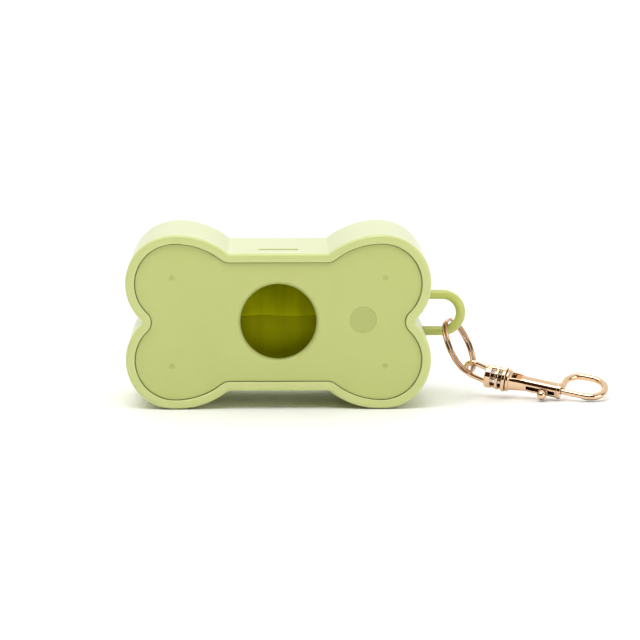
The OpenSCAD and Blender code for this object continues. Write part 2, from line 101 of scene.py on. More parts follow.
def lathe(name, profile, place=None, steps=64, closed=False):
    # profile is a list of (distance along X, radius), turned about the X axis
    rings = []
    for along, radius in profile:
        angles = [math.tau * i / steps for i in range(steps)]
        rings.append([(along, radius * math.cos(a), radius * math.sin(a)) for a in angles])
    return loft(name, rings, place, closed)


def tube(name, path, radius, place=None, sides=24, closed=False, normal=None):
    # a round wire along a path of points, with its ends rounded over
    path = [Vector(p) for p in path]
    count = len(path)
    tangents = []
    for i in range(count):
        before = path[i - 1] if closed or i else path[0]
        after = path[(i + 1) % count] if closed or i < count - 1 else path[-1]
        tangents.append((after - before).normalized())
    side = normal or Vector((0, 0, 1))
    rings = []
    for i in range(count):
        side = (side - tangents[i] * side.dot(tangents[i])).normalized()
        other = tangents[i].cross(side)
        turns = [math.tau * j / sides for j in range(sides)]
        rings.append([path[i] + radius * (math.cos(t) * side + math.sin(t) * other) for t in turns])
    if closed:
        return loft(name, rings, place, True)

    def capRings(end, outward):
        # the dome stands out by half the wire's radius
        tip = path[end]
        return [[tip + outward * radius * 0.5 * math.sin(a) + (p - tip) * math.cos(a) for p in rings[end]]
                for a in map(math.radians, (25, 50, 72))]

    return loft(name, capRings(0, -tangents[0])[::-1] + rings + capRings(-1, tangents[-1]), place)


def settle(obj):
    # bakes the modifiers into the mesh
    bpy.context.view_layer.update()
    graph = bpy.context.evaluated_depsgraph_get()
    baked = bpy.data.meshes.new_from_object(obj.evaluated_get(graph))
    obj.modifiers.clear()
    obj.data = baked
    return obj


def carve(obj, tool, operation="DIFFERENCE"):
    modifier = obj.modifiers.new("carve", "BOOLEAN")
    modifier.operation = operation
    modifier.solver = "EXACT"
    modifier.object = tool
    settle(obj)
    bpy.data.objects.remove(tool)
    return obj


def weld(obj, *others):
    for other in others:
        carve(obj, other, "UNION")
    return obj


def castSurface(obj, grainSize, passes):
    # remesh and smooth, which rounds every edge the way a casting's are
    remesh = obj.modifiers.new("remesh", "REMESH")
    remesh.mode = "VOXEL"
    remesh.voxel_size = grainSize * mm
    smooth = obj.modifiers.new("smooth", "SMOOTH")
    smooth.factor = 0.5
    smooth.iterations = passes
    return settle(obj)


def present(obj, body, material, nodes=(), sharpAngle=35):
    # shading, finish and the body that the piece moves with
    obj.data.materials.clear()
    obj.data.materials.append(material)
    for polygon in obj.data.polygons:
        polygon.material_index = 0
    obj.data.shade_smooth()
    obj.data.set_sharp_from_angle(angle=math.radians(sharpAngle))
    weighted = obj.modifiers.new("weighted", "WEIGHTED_NORMAL")
    weighted.keep_sharp = True
    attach(obj, body)
    if nodes:
        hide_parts(*nodes)
    return obj


def hexColour(code):
    parts = [int(code[i:i + 2], 16) / 255 for i in (1, 3, 5)]
    return tuple(c / 12.92 if c <= 0.04045 else ((c + 0.055) / 1.055) ** 2.4 for c in parts) + (1.0,)


def addNode(tree, kind, inputs=None, **settings):
    node = tree.nodes.new(kind)
    for key, value in settings.items():
        setattr(node, key, value)
    for key, value in (inputs or {}).items():
        if isinstance(value, bpy.types.NodeSocket):
            tree.links.new(value, node.inputs[key])
        else:
            node.inputs[key].default_value = value
    return node


def perMetre(sizeMm):
    return 1000 / sizeMm


def startMaterial(name):
    material = bpy.data.materials.new(name)
    material.use_nodes = True
    tree = material.node_tree
    tree.nodes.clear()
    where = addNode(tree, "ShaderNodeTexCoord").outputs["Object"]
    return material, tree, where


def endMaterial(material, tree, shader):
    addNode(tree, "ShaderNodeOutputMaterial", {"Surface": shader.outputs["BSDF"]})
    return material


def mouldedPolypropylene(name, lightHex, deepHex, roughness, glow, skin, bloom, sunkFrom=None):
    # Injection-moulded polypropylene: a satin skin with fine spark-eroded grain. Glow is the share of light
    # carried inside, skin the soft gloss on top, and bloom the pale haze on surfaces seen at a low angle.
    material, tree, where = startMaterial(name)
    # flow clouds some 14 mm wide, as colour masterbatch leaves them
    clouds = addNode(tree, "ShaderNodeTexNoise", {"Vector": where, "Scale": perMetre(14), "Detail": 3})
    colour = addNode(tree, "ShaderNodeMix", {0: clouds.outputs["Fac"], 6: hexColour(deepHex),
                                             7: hexColour(lightHex)}, data_type="RGBA")
    base = colour.outputs[2]
    if sunkFrom is not None:
        # places set more than 0.1 mm below the face are painted a darker olive: partly the badge's own darker
        # finish, partly painted shade that makes them look deeper
        depth = addNode(tree, "ShaderNodeSeparateXYZ", {"Vector": where}).outputs["Y"]
        sunkShade = addNode(tree, "ShaderNodeMapRange", {"Value": depth, "From Min": (sunkFrom + 0.05) * mm,
                                                    "From Max": (sunkFrom + 0.14) * mm, "To Max": 0.2})
        base = addNode(tree, "ShaderNodeMix", {0: sunkShade.outputs["Result"], 6: base, 7: hexColour("#707A28")},
                       data_type="RGBA").outputs[2]
    # painted shade: within 1 mm of a gap or corner the colour is darkened to a deep olive, standing in for
    # the light that goes from green wall to green wall
    cavityShade = addNode(tree, "ShaderNodeAmbientOcclusion", {"Distance": 1.0 * mm}, samples=6)
    clear = addNode(tree, "ShaderNodeMapRange", {"Value": cavityShade.outputs["AO"], "From Min": 0.1,
                                                 "From Max": 0.75})
    base = addNode(tree, "ShaderNodeMix", {0: clear.outputs["Result"], 6: hexColour("#6E7A20"), 7: base},
                   data_type="RGBA").outputs[2]
    # the real grain is near 0.05 mm, and is drawn at 0.35 mm so that it shows
    grain = addNode(tree, "ShaderNodeTexNoise", {"Vector": where, "Scale": perMetre(0.35), "Detail": 4})
    rough = addNode(tree, "ShaderNodeMapRange", {"Value": grain.outputs["Fac"], "To Min": roughness - 0.04,
                                                 "To Max": roughness + 0.05})
    bump = addNode(tree, "ShaderNodeBump", {"Height": grain.outputs["Fac"], "Strength": 0.10,
                                            "Distance": 0.02 * mm})
    shader = addNode(tree, "ShaderNodeBsdfPrincipled", {
        "Base Color": base, "Roughness": rough.outputs["Result"], "IOR": 1.49,
        "Normal": bump.outputs["Normal"],
        "Subsurface Weight": glow, "Subsurface Radius": (1.0, 1.0, 0.35), "Subsurface Scale": 1.0 * mm,
        "Coat Weight": skin, "Coat Roughness": 0.3, "Sheen Weight": bloom, "Sheen Roughness": 0.4})
    return endMaterial(material, tree, shader)


def polishedPlate(name, baseHex, smearHex, roughness, lineMm):
    # Plated metal with a high polish, a tumbled casting or a drawn wire: mirror-bright, with faint haze and
    # polishing lines, and a painted brown shade in recesses within 2 mm of other metal
    material, tree, where = startMaterial(name)
    # haze in patches of 2.5 mm
    haze = addNode(tree, "ShaderNodeTexNoise", {"Vector": where, "Scale": perMetre(2.5), "Detail": 3})
    colour = addNode(tree, "ShaderNodeMix", {0: haze.outputs["Fac"], 6: hexColour(baseHex),
                                             7: hexColour(smearHex)}, data_type="RGBA")
    # painted shade: dark brown is mixed into the colour where other metal is within 2 mm
    cavityShade = addNode(tree, "ShaderNodeAmbientOcclusion", {"Distance": 2.0 * mm}, samples=6)
    openShare = addNode(tree, "ShaderNodeMapRange", {"Value": cavityShade.outputs["AO"], "From Min": 0.28,
                                                    "From Max": 0.62})
    shadedPlate = addNode(tree, "ShaderNodeMix", {0: openShare.outputs["Result"], 6: hexColour("#4A2C18"),
                                             7: colour.outputs[2]}, data_type="RGBA")
    stretched = addNode(tree, "ShaderNodeMapping", {"Vector": where, "Scale": (0.15, 1, 1)})
    lines = addNode(tree, "ShaderNodeTexNoise", {"Vector": stretched.outputs["Vector"],
                                                 "Scale": perMetre(lineMm), "Detail": 2})
    rough = addNode(tree, "ShaderNodeMapRange", {"Value": haze.outputs["Fac"], "To Min": roughness * 0.7,
                                                 "To Max": roughness * 1.4})
    bump = addNode(tree, "ShaderNodeBump", {"Height": lines.outputs["Fac"], "Strength": 0.06,
                                            "Distance": 0.01 * mm})
    shader = addNode(tree, "ShaderNodeBsdfPrincipled", {
        "Base Color": shadedPlate.outputs[2], "Metallic": 1.0, "Roughness": rough.outputs["Result"],
        "Normal": bump.outputs["Normal"]})
    return endMaterial(material, tree, shader)


def polyetheneFilm(name, lightHex, deepHex, pleatDepth, paintedGlow):
    # Blown polyethene bag film, folded and wound: a soft, deep colour with pleats every 3 mm or so along its
    # length. The last argument sets a painted glow: an emission that stands in for the light that reaches its
    # shaded side through the layers.
    material, tree, where = startMaterial(name)
    stretched = addNode(tree, "ShaderNodeMapping", {"Vector": where, "Scale": (1, 0.12, 0.12)})
    pleats = addNode(tree, "ShaderNodeTexNoise", {"Vector": stretched.outputs["Vector"],
                                                  "Scale": perMetre(3.2), "Detail": 4})
    # painted light and shade: the pleats' crests are coloured lighter and their troughs darker
    pleatShade = addNode(tree, "ShaderNodeMapRange", {"Value": pleats.outputs["Fac"], "From Min": 0.3,
                                                 "From Max": 0.7})
    colour = addNode(tree, "ShaderNodeMix", {0: pleatShade.outputs["Result"], 6: hexColour(deepHex),
                                             7: hexColour(lightHex)}, data_type="RGBA")
    bump = addNode(tree, "ShaderNodeBump", {"Height": pleats.outputs["Fac"], "Strength": 0.3,
                                            "Distance": pleatDepth * mm})
    # the emission is painted light: the film glows in its own colour
    shader = addNode(tree, "ShaderNodeBsdfPrincipled", {
        "Base Color": colour.outputs[2], "Roughness": 0.6, "IOR": 1.51, "Specular IOR Level": 0.03,
        "Normal": bump.outputs["Normal"], "Subsurface Weight": 0.8, "Subsurface Radius": (1.0, 1.0, 0.03),
        "Subsurface Scale": 3 * mm, "Emission Color": colour.outputs[2], "Emission Strength": paintedGlow})
    return endMaterial(material, tree, shader)


def woundCard(name, lightHex, deepHex):
    # Spirally wound grey-brown board: matt and fibrous; the fibres are near 0.05 mm, drawn at 0.6 mm to show
    material, tree, where = startMaterial(name)
    fibres = addNode(tree, "ShaderNodeTexNoise", {"Vector": where, "Scale": perMetre(0.6), "Detail": 6})
    colour = addNode(tree, "ShaderNodeMix", {0: fibres.outputs["Fac"], 6: hexColour(deepHex),
                                             7: hexColour(lightHex)}, data_type="RGBA")
    bump = addNode(tree, "ShaderNodeBump", {"Height": fibres.outputs["Fac"], "Strength": 0.4,
                                            "Distance": 0.05 * mm})
    shader = addNode(tree, "ShaderNodeBsdfPrincipled", {
        "Base Color": colour.outputs[2], "Roughness": 0.85, "Normal": bump.outputs["Normal"]})
    return endMaterial(material, tree, shader)


def studioPaper(name, paperHex):
    # Seamless background paper: matt, with tooth far too fine to see, drawn at 1 mm
    material, tree, where = startMaterial(name)
    tooth = addNode(tree, "ShaderNodeTexNoise", {"Vector": where, "Scale": perMetre(1), "Detail": 2})
    bump = addNode(tree, "ShaderNodeBump", {"Height": tooth.outputs["Fac"], "Strength": 0.02,
                                            "Distance": 0.05 * mm})
    shader = addNode(tree, "ShaderNodeBsdfPrincipled", {
        "Base Color": hexColour(paperHex), "Roughness": 0.7, "Normal": bump.outputs["Normal"]})
    return endMaterial(material, tree, shader)


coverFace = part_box("front_cover")[0].y / mm
caseGreen = mouldedPolypropylene("polypropyleneRim", "#CFD88C", "#CAD385",
                                 roughness=0.36, glow=0.05, skin=0.55, bloom=0.25)
coverGreen = mouldedPolypropylene("polypropyleneCover", "#C6CF80", "#C1CA7A",
                                  roughness=0.42, glow=0.06, skin=0.1, bloom=0, sunkFrom=coverFace)
loopGreen = mouldedPolypropylene("polypropyleneLoop", "#C2C968", "#BAC15E",
                                 roughness=0.34, glow=0.2, skin=0.7, bloom=0.3)
# one film in two copies: the roll's is painted darker for the shade it sits in, and the loose end's is
# painted lighter for the light on it
filmGreenShaded = polyetheneFilm("polyetheneRolledShaded", "#7C7E00", "#727400", pleatDepth=0.05, paintedGlow=0.22)
hemGreenLit = polyetheneFilm("polyetheneLooseLit", "#C6CC00", "#A9AE00", pleatDepth=0.12, paintedGlow=0.05)
rolledBoard = woundCard("woundCard", "#C2AE8C", "#9A8464")
roseGold = polishedPlate("roseGoldPlate", "#E8C39E", "#EECFAE", roughness=0.07, lineMm=0.25)
ringCopper = polishedPlate("copperedSpringSteel", "#CFA684", "#B98B66", roughness=0.14, lineMm=0.2)
wireSteel = polishedPlate("plainSteelWire", "#C8C4BE", "#B4B0AA", roughness=0.18, lineMm=0.2)
print("materials made")


bone = {
    "lobeX": 30.4, "lobeZ": 11.3, "lobeRadius": 14.6,   # the four lobes
    "shoulderRadius": 24.9, "neckHalf": 20.4,           # the long curve into the neck
    "cornerRound": 1.0, "arcStep": 3,
}
tray = {
    "rimWidth": 2.7, "wall": 3.2, "backWall": 2.2, "ledgeDepth": 2.0,
    "frontRound": 1.0, "backRound": 1.4, "lipRound": 0.25, "floorRound": 0.8, "roundSteps": 6,
    "slotLong": 11.8, "slotWide": 3.2, "slotFromRim": 9.0, "slotRound": 0.35, "slotCorner": 0.6,
    "socketRadius": 2.55, "socketBore": 1.55,
}
pegs = {"x": 31.4, "z": 13.1, "radius": 1.5, "tipRound": 0.5, "grip": 6.0}
pegPlaces = [(sx * pegs["x"], sz * pegs["z"]) for sx in (-1, 1) for sz in (-1, 1)]
loop = {
    "rodRadius": 1.45, "holeRadius": 1.5, "bendSteps": 40,
    "headRadius": 2.2, "headThick": 1.2, "headEdge": 0.3,
}
sunkIn = 0.5   # how far a welded piece starts inside the one that carries it

caseLow, caseHigh = boxInMm("case")
coverLow, coverHigh = boxInMm("front_cover")
loopLow, loopHigh = boxInMm("carry_loop")
rimY, backY = caseLow.y, caseHigh.y
floorY = backY - tray["backWall"]
faceY = coverLow.y
plateBackY = faceY + tray["ledgeDepth"]
midY = (rimY + backY) / 2
legZ = (loopHigh.z - loopLow.z) / 2 - loop["headRadius"]


def arc(cx, cz, radius, start, end):
    steps = max(1, math.ceil(abs(end - start) / bone["arcStep"]))
    angles = [math.radians(start + (end - start) * i / steps) for i in range(steps)]
    return [(cx + radius * math.cos(a), cz + radius * math.sin(a)) for a in angles]


def boneOutline(inset):
    # the inner offset of a slightly larger bone, so its notches and neck corners are rounded
    grow = bone["cornerRound"]
    lobe, shoulder, neck = (bone[k] + grow for k in ("lobeRadius", "shoulderRadius", "neckHalf"))
    shoulderZ = bone["lobeZ"] + lobe - shoulder
    notchX = bone["lobeX"] + math.sqrt(lobe ** 2 - bone["lobeZ"] ** 2)
    notchAngle = math.degrees(math.atan2(bone["lobeZ"], notchX - bone["lobeX"]))
    cornerAngle = 180 - math.degrees(math.asin((neck - shoulderZ) / shoulder))
    cornerX = bone["lobeX"] + shoulder * math.cos(math.radians(cornerAngle))
    edge = inset + grow
    quarter = arc(notchX, 0, edge, 180, 180 - notchAngle)
    quarter += arc(bone["lobeX"], bone["lobeZ"], lobe - edge, -notchAngle, 90)
    quarter += arc(bone["lobeX"], shoulderZ, shoulder - edge, 90, cornerAngle)
    quarter += arc(cornerX, neck, edge, cornerAngle - 180, -90)
    quarter.append((cornerX, neck - edge))
    left = [(-x, z) for x, z in reversed(quarter)]
    lower = [(-x, -z) for x, z in quarter[1:]] + [(x, -z) for x, z in reversed(quarter[1:])]
    return quarter + left + lower


def boneSkin(name, steps):
    # steps are (inset, y), from the first cap to the last
    return loft(name, [[(x, y, z) for x, z in boneOutline(inset)] for inset, y in steps])


def quarterTurn(steps):
    return [math.radians(90 * i / steps) for i in range(steps + 1)]


def alongY(name, x, z, profile, steps=48, closed=False):
    # turned about an axis along Y: profile is (y, radius)
    place = Matrix.Translation(Vector((x, 0, z)) * mm) @ Matrix.Rotation(math.pi / 2, 4, "Z")
    return lathe(name, profile, place, steps, closed)


def alongX(name, y, z, profile, steps=32):
    return lathe(name, profile, Matrix.Translation(Vector((0, y, z)) * mm), steps)


def softRectangle(halfWide, halfHigh, corner, spread, steps):
    # an outline with round corners, grown by spread without moving the corners' centres
    outline = []
    for sx, sy, start in ((1, 1, 0), (-1, 1, 90), (-1, -1, 180), (1, -1, 270)):
        for a in map(math.radians, span(start, start + 90, steps)):
            outline.append((sx * (halfWide - corner) + (corner + spread) * math.cos(a),
                            sy * (halfHigh - corner) + (corner + spread) * math.sin(a)))
    return outline


def roundedSlot(name, y, z, outward):
    # a slot cutter whose mouth flares out over the edge's rounding
    edge = tray["slotRound"]
    steps = [(-tray["wall"] - 1, 0)]
    steps += [(-edge + edge * math.sin(a), edge * (1 - math.cos(a))) for a in quarterTurn(4)]
    steps.append((0.5, edge))
    rings = []
    for depth, spread in steps:
        outline = softRectangle(tray["slotLong"] / 2, tray["slotWide"] / 2, tray["slotCorner"], spread, 4)
        rings.append([(u, y + v, outward * (z + depth)) for u, v in outline])
    return loft(name, rings)


def makeCase():
    turns = quarterTurn(tray["roundSteps"])
    back, front, lip, low = (tray[k] for k in ("backRound", "frontRound", "lipRound", "floorRound"))
    steps = [(back * (1 - math.sin(a)), backY - back * (1 - math.cos(a))) for a in turns]
    steps += [(front * (1 - math.sin(a)), rimY + front * (1 - math.cos(a))) for a in reversed(turns)]
    steps += [(tray["rimWidth"] - lip + lip * math.sin(a), rimY + lip - lip * math.cos(a)) for a in turns]
    steps += [(tray["rimWidth"], plateBackY), (tray["wall"], plateBackY)]
    steps += [(tray["wall"] + low * (1 - math.cos(a)), floorY - low + low * math.sin(a)) for a in turns]
    shell = boneSkin("caseShell", steps)
    socketY = coverHigh.y - pegs["grip"]
    for x, z in pegPlaces:
        outer, bore = tray["socketRadius"], tray["socketBore"]
        weld(shell, alongY("socket", x, z, [(floorY + sunkIn, outer), (socketY, outer)]))
        carve(shell, alongY("socketBore", x, z, [(floorY - 0.01, bore), (socketY - 1, bore)]))
    slotY = rimY + tray["slotFromRim"] + tray["slotWide"] / 2
    for outward in (1, -1):
        carve(shell, roundedSlot("slotCutter", slotY, bone["neckHalf"], outward))
    for sz in (-1, 1):
        ends = (bone["lobeX"], bone["lobeX"] + bone["lobeRadius"] + 1)
        carve(shell, alongX("legHole", midY, sz * legZ, [(x, loop["holeRadius"]) for x in ends]))
    return present(shell, "case", caseGreen, ["case"])


caseShell = makeCase()
print("case made:", len(caseShell.data.polygons), "faces")


cover = {
    "inset": 2.85, "edgeRound": 0.12,
    "holeRadius": 11.2, "holeRound": 1.2, "collarWidth": 1.8, "collarBack": 1.0, "collarEdge": 0.3,
    "discX": 24.9, "discZ": 0.5, "discRadius": 4.35, "discEdge": 0.35, "discDepth": 0.3,
    "dimpleRadius": 0.75, "dimpleDepth": 0.3, "dishRadius": 1.7,
    "tongueThick": 1.3, "tongueGap": 0.25, "tongueEdge": 0.3, "cutterOut": 0.3,
}


def box(name, low, high, edge):
    # a block with its long edges along Y rounded, and its far end drawn in
    centre, half = (Vector(low) + Vector(high)) / 2, (Vector(high) - Vector(low)) / 2
    rings = []
    for y, shrink in ((low[1], 0), (high[1] - edge, 0), (high[1], edge * 0.6)):
        outline = softRectangle(half.x, half.z, edge, -shrink, 3)
        rings.append([(centre.x + u, y, centre.z + v) for u, v in outline])
    return loft(name, rings)


def makeCover():
    edge = cover["edgeRound"]
    steps = [(cover["inset"], plateBackY)]
    steps += [(cover["inset"] + edge * (1 - math.sin(a)), faceY + edge * (1 - math.cos(a)))
              for a in reversed(quarterTurn(5))]
    plate = boneSkin("coverPlate", steps)
    hole, flare, back = cover["holeRadius"], cover["holeRound"], cover["collarBack"]
    collar, bevel = hole + cover["collarWidth"], cover["collarEdge"]
    weld(plate, alongY("collar", 0, 0, [(plateBackY - sunkIn, collar), (back - bevel, collar),
                                        (back, collar - bevel)], 128))
    thick, tip = pegs["radius"], pegs["tipRound"]
    for x, z in pegPlaces:
        weld(plate, alongY("peg", x, z, [(plateBackY - sunkIn, thick), (coverHigh.y - tip, thick),
                                         (coverHigh.y, thick - tip)], 32))
    tongueTop = bone["neckHalf"] - tray["wall"] - cover["tongueGap"]
    half = tray["slotLong"] / 2 - cover["tongueGap"]
    tongueBack = rimY + tray["slotFromRim"] + tray["slotWide"] + 1
    for sz in (-1, 1):
        ends = sorted((sz * tongueTop, sz * (tongueTop - cover["tongueThick"])))
        weld(plate, box("tongue", (-half, plateBackY - sunkIn, ends[0]), (half, tongueBack, ends[1]),
                        cover["tongueEdge"]))

    # the flare starts a few degrees in, so that it meets the face at a small angle and not as a tangent
    out = cover["cutterOut"]
    lead = math.radians(8)
    reach = (out + flare * (1 - math.cos(lead))) / math.tan(lead)
    profile = [(faceY - out, hole + flare * (1 - math.sin(lead)) + reach)]
    profile += [(faceY + flare * (1 - math.cos(a)), hole + flare * (1 - math.sin(a)))
                for a in span(lead, math.pi / 2, 12)]
    profile += [(back - 0.25, hole), (back + 0.25, hole + 0.5)]
    carve(plate, alongY("holeCutter", 0, 0, profile, 192))

    # a groove round the disc, and the disc's own face half as deep
    ring, lip, deep = cover["discRadius"], cover["discEdge"], cover["discDepth"]
    groove = [(faceY - out, ring - 0.12), (faceY + deep * 0.7, ring + 0.03), (faceY + deep, ring + 0.12),
              (faceY + deep, ring + lip - 0.12), (faceY + deep * 0.7, ring + lip - 0.03),
              (faceY - out, ring + lip + 0.2)]
    carve(plate, alongY("grooveCutter", cover["discX"], cover["discZ"], groove, 96, True))
    carve(plate, alongY("discCutter", cover["discX"], cover["discZ"], [
        (faceY - out, ring - lip + 0.25), (faceY + deep * 0.25, ring - lip + 0.02),
        (faceY + deep * 0.5, ring - lip - 0.15)], 96))

    # a sink mark over each peg: a dimple in a very shallow dish
    size, dip, dish = cover["dimpleRadius"], cover["dimpleDepth"], cover["dishRadius"]
    bowl = [(faceY - 0.2, dish * 1.3), (faceY, dish), (faceY + 0.04, dish * 0.75),
            (faceY + 0.06, size * 1.15), (faceY + dip * 0.35, size)]
    bowl += [(faceY + dip * math.sin(a), size * math.cos(a) * 0.98) for a in quarterTurn(5)[2:-1]]
    for x, z in pegPlaces:
        carve(plate, alongY("dimple", x, z, bowl, 32))
    return present(plate, "cover", coverGreen, ["front_cover"])


coverPlate = makeCover()
print("cover made:", len(coverPlate.data.polygons), "faces")


def makeLoop():
    bendX = loopHigh.x - loop["rodRadius"] - legZ
    start = loopLow.x + loop["headThick"] / 2
    path = [(x, midY, -legZ) for x in span(start, bendX, 12)[:-1]]
    path += [(bendX + legZ * math.cos(a), midY, legZ * math.sin(a))
             for a in span(-math.pi / 2, math.pi / 2, loop["bendSteps"])]
    path += [(x, midY, legZ) for x in span(bendX, start, 12)[1:]]
    rod = tube("loopRod", path, loop["rodRadius"], sides=32, normal=Vector((0, 1, 0)))
    size, edge = loop["headRadius"], loop["headEdge"]
    head = [(loopLow.x, size - edge), (loopLow.x + edge, size), (loopLow.x + loop["headThick"], size)]
    for sz in (-1, 1):
        weld(rod, alongX("head", midY, sz * legZ, head))
    return present(rod, "case", loopGreen, ["carry_loop"])


makeLoop()
print("loop made")


rollLow, rollHigh = boxInMm("bag_roll")
coreLow, coreHigh = boxInMm("roll_core")
endHigh = boxInMm("bag_end")[1]
rollPlace = Matrix.Translation(Vector((0, (rollLow.y + rollHigh.y) / 2, (rollLow.z + rollHigh.z) / 2)) * mm)
roll = {
    "radius": (rollHigh.z - rollLow.z) / 2, "half": rollHigh.x, "core": (coreHigh.z - coreLow.z) / 2,
    "coreWall": 1.1, "coreEdge": 0.15, "layers": 22, "outermost": 0.5,
    "edgeScatter": 0.35, "edgeStep": 0.12, "edgeDepth": 0.18, "wrinkle": 0.22, "endWrinkle": 0.06,
    "filmThick": 0.35, "hemHeight": 2.3, "filmAngle": 70, "pleat": 0.16, "hemSag": 0.35,
}


def makeRoll():
    steps, radius, half = 144, roll["radius"], roll["half"]
    rings = []

    def addRing(x, r, rough):
        ring = []
        for i in range(steps):
            a = math.tau * i / steps
            dip = rough * (0.5 + 0.5 * noise.noise(Vector((x * 0.09, 3.5 * math.cos(a), 3.5 * math.sin(a)))))
            spiral = rough * 0.6 * i / steps
            ring.append((x, (r - dip - spiral) * math.cos(a), (r - dip - spiral) * math.sin(a)))
        rings.append(ring)

    # the films' edges stand a little in and out of line at both ends
    def endRings(side):
        found = []
        for k in range(roll["layers"] + 1):
            r = roll["core"] + (radius - roll["outermost"] - roll["core"]) * k / roll["layers"]
            offset = roll["edgeScatter"] * (0.5 + 0.5 * noise.noise(Vector((k * 1.7, side * 5.0, 0.3))))
            found.append((side * (half - offset), r))
            found.append((side * (half - offset - roll["edgeDepth"]), r + roll["edgeStep"]))
        return found

    for x, r in endRings(-1):
        addRing(x, r, roll["endWrinkle"])
    for x in span(-half + roll["edgeScatter"], half - roll["edgeScatter"], 48):
        addRing(x, radius, roll["wrinkle"])
    for x, r in reversed(endRings(1)):
        addRing(x, r, roll["endWrinkle"])
    return present(loft("filmRoll", rings, rollPlace, True), "roll", filmGreenShaded, ["bag_roll"], 60)


def makeCore():
    outer, inner, half, edge = roll["core"], roll["core"] - roll["coreWall"], coreHigh.x, roll["coreEdge"]
    profile = [(-half, inner + edge), (-half, outer - edge), (-half + edge, outer), (half - edge, outer),
               (half, outer - edge), (half, inner + edge), (half - edge, inner), (-half + edge, inner)]
    core = lathe("cardCore", profile, rollPlace, 96, True)
    return present(core, "roll", rolledBoard, ["roll_core"])


def makeFilmEnd():
    # the loose end comes over the top of the roll and hangs down its front in soft pleats
    columns, rows = 110, 36
    hem = math.asin(roll["hemHeight"] / roll["radius"])
    half = endHigh.x
    layers = []
    for off in (0.15, 0.39):   # the film's inner and outer face, as shares of its thickness off the roll
        sheet = []
        for r in range(rows + 1):
            loose = 1 - r / rows
            for x in span(-half, half, columns):
                wide = noise.noise(Vector((x * 0.42, 0.2, 0.8)))
                fine = noise.noise(Vector((x * 1.1, r * 0.02, 4.0)))
                lift = roll["filmThick"] * off + roll["pleat"] * (0.5 + 0.5 * (wide + 0.5 * fine)) * loose
                radius = roll["radius"] + lift
                turn = hem + math.radians(roll["filmAngle"]) * r / rows
                if r == 0:
                    turn += roll["hemSag"] * noise.noise(Vector((x * 0.12, 9.0, 1.0))) / radius
                sheet.append((x, -radius * math.cos(turn), radius * math.sin(turn)))
        layers.append(sheet)
    row = columns + 1
    points = layers[0] + layers[1]
    shift = len(layers[0])
    faces = []
    for r in range(rows):
        for a in range(r * row, r * row + columns):
            faces.append((a, a + row, a + 1 + row, a + 1))
            faces.append((shift + a, shift + a + 1, shift + a + 1 + row, shift + a + row))
    rim = list(range(row)) + [r * row + columns for r in range(1, rows + 1)]
    rim += [rows * row + c for c in range(columns - 1, -1, -1)] + [r * row for r in range(rows - 1, 0, -1)]
    for i, a in enumerate(rim):
        b = rim[(i + 1) % len(rim)]
        faces.append((a, b, shift + b, shift + a))
    piece = present(makeMesh("filmEnd", points, faces, rollPlace), "roll", hemGreenLit, ["bag_end"], 60)
    return piece


makeRoll()
makeCore()
makeFilmEnd()
print("roll made")


ring = {
    "radius": 8.5, "wire": 0.86, "step": 0.98,
    "lean": 27, "twist": 19, "start": 60, "crossing": 26, "endGap": 3,   # degrees
}
ringLow, ringHigh = boxInMm("split_ring")


def makeRing():
    # two flat turns side by side, with one short crossing where the wire steps over
    lean, twist, start = (math.radians(ring[k]) for k in ("lean", "twist", "start"))
    turned = Euler((0, -lean, 0)).to_matrix() @ Euler((0, 0, -twist)).to_matrix()
    turned = turned @ Euler((start, 0, 0)).to_matrix()
    path = []
    gap = ring["crossing"] / 2 + ring["endGap"]
    for degrees in span(gap, 720 - gap, 240):
        step = max(-1, min(1, 2 * (degrees - 360) / ring["crossing"]))
        shift = ring["step"] / 2 * math.sin(step * math.pi / 2)
        a = math.radians(degrees)
        path.append((shift, ring["radius"] * math.cos(a), ring["radius"] * math.sin(a)))
    place = Matrix.Translation((ringLow + ringHigh) / 2 * mm) @ turned.to_4x4()
    wire = tube("ringWire", path, ring["wire"] / 2, place, 16, normal=Vector((1, 0, 0)))
    return present(wire, "ring", ringCopper, ["split_ring"], 50)


makeRing()
print("ring made")


snap = {"yaw": 17, "slope": 9.5, "hookRoll": 26, "eyeRoll": 115}
eye = {
    "bowRod": 0.8, "bowRadius": 2.4, "bowLength": 4.95, "bowTilt": 14, "bowStart": -5.1,
    "barRadius": 0.8, "barOut": 3.1, "barEnd": 0.4,
    "ribs": ((-4.85, 1.9, 3.6), (-2.05, 0.9, 3.6), (0, 1.1, 3.8)),   # place, thickness and radius of each
    "ribEdge": 0.25, "pinRadius": 0.95, "grain": 0.09, "smoothing": 5,
}
hook = {
    "tailStart": 0.70, "tailRadius": 3.1, "tailEnd": 2.3, "tailLength": 5.3, "tailThick": 4.4,
    "rimRadius": 3.5, "rimThick": 0.9, "rimEdge": 0.2, "neckBore": 0.73, "tailWall": 1.5,
    "windowLong": 3.0, "windowWide": 2.6, "barrelWide": 4.2, "barrelLong": 11.5, "cornerShare": 0.54,
    "collarLong": 1.0, "collarStep": 0.15, "boreRadius": 0.93, "boreWall": 0.45,
    "slotHalf": 0.63, "slotNose": 1.6,
    "rodRadius": 1.05, "rodStep": 0.85, "bendRadius": 5.2, "backLong": 2.5, "roundRadius": 4.7,
    "grain": 0.09, "smoothing": 5,
}
pin = {
    "bodyEnd": 0.5, "shoulder": 0.05, "neck": 0.65, "play": 0.15, "footEdge": 0.3,
    # (distance, radius) along the turned foot at the bow and along the riveted head
    "foot": ((0, 0.55), (0.15, 0.9)),
    "head": ((0, 1.0), (0.1, 1.1), (0.4, 1.05), (0.6, 0.8), (0.7, 0.4)),
}
